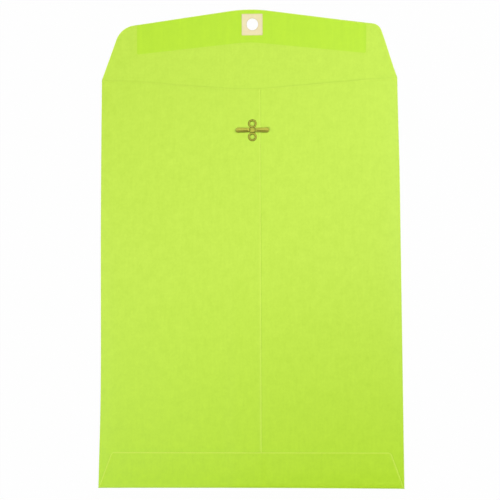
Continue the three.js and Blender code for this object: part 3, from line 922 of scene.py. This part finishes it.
def strap():
    """The strap from eyelet to eyelet: it arches over the prong strip and is waisted beside it."""
    run = np.linspace(-STRAP_HALF_LENGTH, STRAP_HALF_LENGTH, STRAP_STATIONS)
    arch = 1 - ease((np.abs(run) - STRAP_LEVEL) / STRAP_RAMP)
    middle = STRAP_TOP - STRAP_SHEET / 2 - STRAP_DROP * (1 - arch)
    half = STRAP_HALF_WIDTH - bell(np.abs(run) - WAIST_PLACE, WAIST_WIDTH, WAIST_DEPTH)
    loops = []
    for place, height, width in zip(run, middle, half):
        across, up = band_loop(width, STRAP_SHEET, STRAP_CROWN)
        loops.append(np.stack([across, place + 0 * across, height + up], -1))
    return bar(np.array(loops))


def build_clasp_plate(brass):
    """Both eyelets and the strap, melted into one stamping by a fine voxel remesh."""
    ring_points, ring_faces = lathe(eyelet_profile(), RING_SIDES)
    strap_points, strap_faces = strap()
    points, faces, count = [strap_points], strap_faces, len(strap_points)
    for side in (-1, 1):
        points.append(ring_points + [0, side * RING_SPACING / 2, 0])
        faces += (ring_faces + count).tolist()
        count += len(ring_points)
    points = np.concatenate(points) + [CLASP[0], CLASP[1], 0]
    rough = mesh_object("clasp_stamping", points, faces)
    remesh = rough.modifiers.new("melt", "REMESH")
    remesh.mode = "VOXEL"
    remesh.voxel_size = VOXEL * MM
    polish = rough.modifiers.new("polish", "SMOOTH")
    polish.factor = 0.5
    polish.iterations = 4
    ready = rough.evaluated_get(bpy.context.evaluated_depsgraph_get())
    mesh = bpy.data.meshes.new_from_object(ready)
    bpy.data.objects.remove(rough)
    mesh.materials.clear()
    mesh.shade_smooth()
    made = linked("clasp_stamping", mesh)
    mark_slopes(made)
    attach(dress(made, brass, "clasp_plate"), "envelope")


def bridge_path():
    """X and height along the middle of the strip under the strap, with a knuckle up at each side."""
    low = LAP_TOP + STRIP_SHEET / 2 + STRIP_GAP
    turn = np.linspace(0, np.pi / 2, KNUCKLE_POINTS)
    out, back = KNUCKLE_RADIUS * np.sin(turn), KNUCKLE_RADIUS * np.cos(turn)
    first = np.stack([KNUCKLE_X - KNUCKLE_RADIUS + out, low + KNUCKLE_RADIUS - back], 1)
    second = np.stack([KNUCKLE_X + KNUCKLE_RADIUS - back, PRONG_MIDDLE - KNUCKLE_RADIUS + out], 1)
    level = np.linspace(0, KNUCKLE_X - KNUCKLE_RADIUS - 0.1, BRIDGE_POINTS)
    half = np.concatenate([np.stack([level, low + 0 * level], 1), first, second])
    return np.concatenate([half[:0:-1] * [-1, 1], half])


def strip_loop(x, half, crown):
    """The strip's section: a rounded leaf, with a rib along a prong's top that fades at both ends."""
    across, up = band_loop(half, STRIP_SHEET, crown)
    ribbed = ease((abs(x) - RIB_ROOT) / RIB_FADE) * ease((PRONG_TIP - RIB_TIP_GAP - abs(x)) / RIB_FADE)
    rib = RIB_RISE * ribbed * np.sqrt(np.clip(1 - (across / RIB_HALF) ** 2, 0, 1))
    return across, up + rib * (up > 0)


def strip_piece(name, path, half_widths, crown, side, brass, node):
    """A part of the prong strip along a path in X and Z, whose section stands square to the path."""
    along = np.gradient(path, axis=0)
    along /= np.linalg.norm(along, axis=1, keepdims=True)
    upright = np.stack([-along[:, 1], along[:, 0]], 1) * side
    loops = []
    for place, normal, half in zip(path, upright, half_widths):
        across, up = strip_loop(place[0], half, crown)
        loops.append(np.stack([place[0] + up * normal[0], -side * across, place[1] + up * normal[1]], -1))
    points, faces = bar(np.array(loops) + [CLASP[0], CLASP[1], 0])
    made = dress(mesh_object(name, points, faces), brass, node)
    mark_slopes(made)
    return made


def build_prongs(brass):
    """The bridge under the strap and the two prongs, which bend softly at their knuckles."""
    path = bridge_path()
    widths = np.full(len(path), STRIP_HALF_ROOT)
    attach(strip_piece("bridge", path, widths, 0, 1, brass, "prong_bridge"), "envelope")

    root = KNUCKLE_X + KNUCKLE_RADIUS
    centre = PRONG_TIP - STRIP_HALF_TIP
    tip = np.sin(np.linspace(0, np.pi / 2, TIP_STATIONS)[1:]) * TIP_SHARE
    run = np.concatenate([np.linspace(root, centre, PRONG_STATIONS), centre + STRIP_HALF_TIP * tip])
    widening = STRIP_HALF_ROOT + (STRIP_HALF_TIP - STRIP_HALF_ROOT) * (run - root) / (centre - root)
    rounding = np.sqrt(np.clip(STRIP_HALF_TIP ** 2 - (run - centre) ** 2, 0, None))
    half = np.where(run < centre, widening, rounding)
    for side, name in ((-1, "left"), (1, "right")):
        path = np.stack([side * run, PRONG_MIDDLE + 0 * run], 1)
        made = strip_piece(f"leaf_{name}", path, half, PRONG_CROWN, side, brass, f"prong_{name}")
        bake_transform(made)


# Materials


def feed(node, inputs):
    """Sets a node's inputs to numbers, or links them to the sockets that feed them."""
    for key, value in inputs.items():
        if isinstance(value, bpy.types.NodeSocket):
            node.id_data.links.new(value, node.inputs[key])
        else:
            node.inputs[key].default_value = value


def add_node(tree, kind, inputs=None, **settings):
    """Adds a node with its settings and inputs."""
    node = tree.nodes.new(kind)
    for key, value in settings.items():
        setattr(node, key, value)
    feed(node, inputs or {})
    return node


def maths(operation, first, second):
    """The result socket of a Math node in the tree that the first socket belongs to."""
    tree = first.id_data
    return add_node(tree, "ShaderNodeMath", {0: first, 1: second}, operation=operation).outputs[0]


def weighted(*terms, offset=0.0):
    """The socket of an offset plus every (value, weight) term's product."""
    total = offset
    for value, weight in terms:
        total = maths("ADD", maths("MULTIPLY", value, weight), total)
    return total


def blend_colours(tree, share, first, second, way="MIX"):
    """The result socket of a colour mix."""
    mix = add_node(tree, "ShaderNodeMix", {0: share, 6: first, 7: second}, data_type="RGBA", blend_type=way)
    return mix.outputs[2]


def marked(tree, key):
    """The socket of a mark that the mesh holds."""
    return add_node(tree, "ShaderNodeAttribute", attribute_name=key).outputs["Fac"]


def noise(vector, scale, detail=2.0, roughness=0.5):
    """Noise from about -0.5 to 0.5."""
    settings = {"Vector": vector, "Scale": scale, "Detail": detail, "Roughness": roughness}
    return maths("SUBTRACT", add_node(vector.id_data, "ShaderNodeTexNoise", settings).outputs["Fac"], 0.5)


def drawn_out(vector, turn, scales, roughness=0.5):
    """Noise in coordinates turned about Z, with its own scale along each axis."""
    settings = {"Vector": vector, "Rotation": (0, 0, turn), "Scale": scales}
    return noise(add_node(vector.id_data, "ShaderNodeMapping", settings).outputs[0], 1.0, 2, roughness)


def new_group(name, *outputs):
    """A node group from coordinates to values, and the socket of its coordinates."""
    tree = bpy.data.node_groups.new(name, "ShaderNodeTree")
    tree.interface.new_socket(name="Vector", in_out="INPUT", socket_type="NodeSocketVector")
    for key in outputs:
        tree.interface.new_socket(name=key, in_out="OUTPUT", socket_type="NodeSocketFloat")
    return tree, add_node(tree, "NodeGroupInput").outputs["Vector"]


def pulp_group():
    """Paper pulp: cloudy formation, streaks of the paper machine and short fibres lying two ways."""
    tree, vector = new_group("paper pulp", "Tone", "Height")
    cloud = noise(vector, 160, 3)
    fleck = noise(vector, 520)
    streak = drawn_out(vector, 0.0, (620, 70, 1))
    fibre_one = drawn_out(vector, 0.6, (2600, 420, 1), 0.6)
    fibre_two = drawn_out(vector, -0.9, (3100, 500, 1), 0.6)
    fibres = maths("ADD", fibre_one, fibre_two)
    tone = weighted((cloud, 0.9), (streak, 0.5), (fleck, 0.7), (fibres, 0.5))
    height = weighted((fleck, 0.6), offset=fibres)
    add_node(tree, "NodeGroupOutput", {"Tone": tone, "Height": height})
    return tree


def shade_and_sheen_group():
    """Painted shade and sheen: 0 by the bottom fold and 1 from the middle of the sheet on, as a power
    between.
    """
    tree, vector = new_group("painted shade and sheen", "Painted light share")
    place = add_node(tree, "ShaderNodeSeparateXYZ", {"Vector": vector})
    along = add_node(tree, "ShaderNodeMapRange", {"Value": place.outputs["Y"], "From Min": SHADE_RAMP_START * MM,
                                                  "From Max": SHADE_RAMP_END * MM})
    add_node(tree, "NodeGroupOutput", {"Painted light share": maths("POWER", along.outputs[0], SHADE_RAMP_POWER)})
    return tree


def fray_group():
    """Frayed edges: the marked edge broken up by fibres, and the cut face itself. The edge colour laid
    along them is partly painted highlight on the lime paper and partly painted shade on the card.
    """
    tree, vector = new_group("frayed edge", "Edge", "Crease")
    share = weighted((noise(vector, 1400), 1.2), offset=0.85)
    soft = maths("MULTIPLY", marked(tree, "edge"), share)
    edge = maths("MAXIMUM", soft, marked(tree, "cut"))
    crease = maths("MULTIPLY", marked(tree, "crease"), share)
    add_node(tree, "NodeGroupOutput", {"Edge": edge, "Crease": crease})
    return tree


def metal_group():
    """Stamped metal: clouds of tarnish, small pits, scratches along the strip, and painted shade on its
    slopes.
    """
    tree, vector = new_group("stamped metal", "Tarnish", "Scratch", "Slope shade")
    pits = noise(vector, 5200)
    tarnish = weighted((pits, 0.5), offset=noise(vector, 900, 3, 0.6))
    scratch = drawn_out(vector, 0.05, (900, 9000, 900), 0.6)
    scratch = weighted((pits, 0.4), offset=scratch)
    # painted shade on the metal, growing with the steepness of each point
    slope_shade = add_node(tree, "ShaderNodeMapRange", {"Value": marked(tree, "steep"), "From Min": SLOPE_SHADE_START,
                                                  "From Max": SLOPE_SHADE_FULL, "To Max": SLOPE_SHADE_DENSITY})
    add_node(tree, "NodeGroupOutput", {"Tarnish": tarnish, "Scratch": scratch, "Slope shade": slope_shade.outputs[0]})
    return tree


def start_material(name):
    """A material with its tree, its Principled shader, and the piece's Object coordinates."""
    material = bpy.data.materials.new(name)
    material.use_nodes = True
    tree = material.node_tree
    vector = add_node(tree, "ShaderNodeTexCoord").outputs["Object"]
    return material, tree, tree.nodes["Principled BSDF"], vector


def read_group(group, vector):
    """The outputs of a shared group placed in a material and read at the given coordinates."""
    return add_node(vector.id_data, "ShaderNodeGroup", {"Vector": vector}, node_tree=group).outputs


def bumpy(height, distance, strength):
    """The normal of a bump from a height, with its depth in metres."""
    settings = {"Height": height, "Distance": distance, "Strength": strength}
    return add_node(height.id_data, "ShaderNodeBump", settings).outputs["Normal"]


def paper_material(name, groups, tones, edge_colour, tone_share, shift, shade_and_sheen_tints=None, edge_share=0.8):
    """Dyed paper: pulp between a deep and a pale tone, blended towards its edge colour where it is cut or
    creased.

    On the lime the paler cut edges are partly painted highlight, and on the card the darker rim is partly
    painted shade. The tints multiply the colour as painted shade towards the bottom and painted sheen
    towards the top.
    """
    material, tree, shader, place = start_material(name)
    vector = add_node(tree, "ShaderNodeMapping", {"Vector": place, "Location": shift}).outputs[0]
    pulp = read_group(groups["pulp"], vector)
    fray = read_group(groups["fray"], vector)
    colour = blend_colours(tree, weighted((pulp["Tone"], tone_share), offset=0.5), *tones)
    # painted shade towards the bottom and painted sheen towards the top
    if shade_and_sheen_tints:
        tint = blend_colours(tree, read_group(groups["shade_and_sheen"], place)["Painted light share"], *shade_and_sheen_tints)
        colour = blend_colours(tree, 1.0, colour, tint, "MULTIPLY")
    # edge colour: partly painted highlight on the lime, partly painted shade on the card
    share = weighted((fray["Edge"], edge_share), (fray["Crease"], 0.2))
    feed(shader, {"Base Color": blend_colours(tree, share, colour, edge_colour),
                  "Roughness": weighted((pulp["Tone"], 0.12), offset=0.52),
                  "Normal": bumpy(pulp["Height"], 0.00003, 0.5)})
    return material


def gum_material(groups):
    """Dried gum on the lime paper: deeper in colour, with a satin face and the roller's faint bands."""
    material, tree, shader, vector = start_material("dried gum")
    pulp = read_group(groups["pulp"], vector)
    fray = read_group(groups["fray"], vector)
    bands = drawn_out(vector, 0.0, (260, 12, 1))
    tone = weighted((pulp["Tone"], 0.4), (bands, 0.5))
    colour = blend_colours(tree, maths("ADD", tone, 0.5), *GUM_TONES)
    colour = blend_colours(tree, maths("MULTIPLY", fray["Edge"], 0.35), colour, GUM_EDGE)
    ripples = maths("ADD", pulp["Height"], bands)
    feed(shader, {"Base Color": colour, "Roughness": weighted((tone, 0.2), offset=0.55),
                  "Normal": bumpy(ripples, 0.00002, 0.4)})
    return material


def brass_material(groups):
    """Dull brass: tarnish in clouds, fine scratches, a satin face, and painted shade on its slopes."""
    material, tree, shader, vector = start_material("dull brass")
    metal = read_group(groups["metal"], vector)
    colour = blend_colours(tree, weighted((metal["Tarnish"], 0.9), offset=0.5), *BRASS_TONES)
    # the slopes are darkened towards the painted shade colour
    feed(shader, {"Base Color": blend_colours(tree, metal["Slope shade"], colour, SLOPE_SHADE), "Metallic": 1,
                  "Roughness": weighted((metal["Tarnish"], -0.25), offset=0.33),
                  "Normal": bumpy(metal["Scratch"], 0.000012, 0.5)})
    return material


def glue_material(groups):
    """Dry glue, hidden between the sheets."""
    material, tree, shader, vector = start_material("dry glue")
    tone = read_group(groups["pulp"], vector)["Tone"]
    colour = blend_colours(tree, maths("ADD", tone, 0.5), *GLUE_TONES)
    feed(shader, {"Base Color": colour, "Roughness": 0.45})
    return material


# Studio


def white_ground(name, share):
    """Pale matt ground that the camera and mirror-like surfaces see mostly as plain white."""
    material = bpy.data.materials.new(name)
    material.use_nodes = True
    tree = material.node_tree
    tree.nodes.clear()
    matt = add_node(tree, "ShaderNodeBsdfDiffuse", {"Color": GREY})
    white = add_node(tree, "ShaderNodeEmission", {"Color": WHITE, "Strength": 1.0})
    path = add_node(tree, "ShaderNodeLightPath").outputs
    seen = maths("MAXIMUM", path["Is Camera Ray"], path["Is Glossy Ray"])
    seen = maths("MAXIMUM", seen, path["Is Transmission Ray"])
    mix = add_node(tree, "ShaderNodeMixShader", {0: maths("MULTIPLY", seen, share),
                                                 1: matt.outputs[0], 2: white.outputs[0]})
    output = add_node(tree, "ShaderNodeOutputMaterial", {"Surface": mix.outputs[0]})
    output.is_active_output = True
    return material


def build_ground():
    """A round floor under the envelope and a low round wall far behind it."""
    rim = np.pad(GROUND_RADIUS * circle(GROUND_SIDES), ((0, 0), (0, 1)), constant_values=GROUND_TOP)
    floor = mesh_object("floor", rim, [list(range(GROUND_SIDES))])
    floor.data.materials.append(white_ground("white floor", FLOOR_WHITE))
    index = np.arange(GROUND_SIDES)
    ahead = np.roll(index, -1)
    walls = np.stack([ahead, index, index + GROUND_SIDES, ahead + GROUND_SIDES], 1)
    backdrop = mesh_object("backdrop", np.concatenate([rim, rim + [0, 0, WALL_HEIGHT]]), walls)
    backdrop.data.materials.append(white_ground("white backdrop", 1.0))


def place_lamp(data, place, aim, watts):
    """Puts a lamp at a place, with its -Z turned towards its aim, both in metres."""
    data.energy = watts
    x, y, z = np.array(aim) - np.array(place)
    lamp = linked(data.name, data)
    lamp.location = place
    lamp.rotation_euler = (math.atan2(math.hypot(x, y), -z), 0, math.atan2(x, -y) + math.pi)


def build_light():
    """An even sky, soft panels on all sides, one of them low in the east, and a low spot on the throat."""
    world = bpy.data.worlds.new("studio air")
    world.use_nodes = True
    feed(world.node_tree.nodes["Background"], {"Color": WHITE, "Strength": SKY_STRENGTH})
    bpy.context.scene.world = world
    for name, (place, size, watts) in PANELS.items():
        data = bpy.data.lights.new(name, "AREA")
        data.shape = "SQUARE"
        data.size = size
        place_lamp(data, place, PANEL_AIM, watts)
    near = bpy.data.lights.new("near spot", "SPOT")
    near.spot_size = math.radians(SPOT_ANGLE)
    near.spot_blend = 1.0
    near.shadow_soft_size = SPOT_RADIUS
    place_lamp(near, SPOT_PLACE, SPOT_AIM, SPOT_WATTS)


def build_camera():
    """The photograph's view: nearly straight down, with a 50 mm lens about half a metre up."""
    data = bpy.data.cameras.new("view")
    data.lens = 50
    data.sensor_width = 36
    data.clip_start = 0.01
    data.clip_end = 20
    camera = linked("view", data)
    camera.location = CAMERA_PLACE
    camera.rotation_euler = [math.radians(angle) for angle in CAMERA_TURN]
    bpy.context.scene.camera = camera


def build_envelope():
    """Every piece of the envelope with its material."""
    groups = {"pulp": pulp_group(), "fray": fray_group(), "shade_and_sheen": shade_and_sheen_group(), "metal": metal_group()}
    lime = paper_material("lime paper", groups, LIME_TONES, LIME_EDGE_AND_HIGHLIGHT, 0.55, (0, 0, 0), LIME_SHADE_AND_SHEEN_TINTS)
    lime_flap = paper_material("lime paper flap", groups, LIME_TONES, LIME_EDGE_AND_HIGHLIGHT, 0.55, (0.4, 0.1, 0),
                               LIME_SHADE_AND_SHEEN_TINTS)
    # its edge colour in full, partly as a painted highlight along the bottom flap's free edges
    lime_lower = paper_material("lime paper lower flap", groups, LIME_TONES, LIME_EDGE_AND_HIGHLIGHT, 0.6, (0.2, 0.7, 0),
                                LIME_SHADE_AND_SHEEN_TINTS, edge_share=1.0)
    card = paper_material("tan card", groups, CARD_TONES, CARD_EDGE_SHADE, 0.6, (0, 0, 0))
    brass = brass_material(groups)
    build_body(lime, lime_lower, glue_material(groups))
    build_closure_flap(lime_flap, gum_material(groups), card)
    build_clasp_plate(brass)
    build_prongs(brass)


build_camera()
build_envelope()
build_light()
build_ground()
bpy.context.scene.view_settings.view_transform = "Standard"
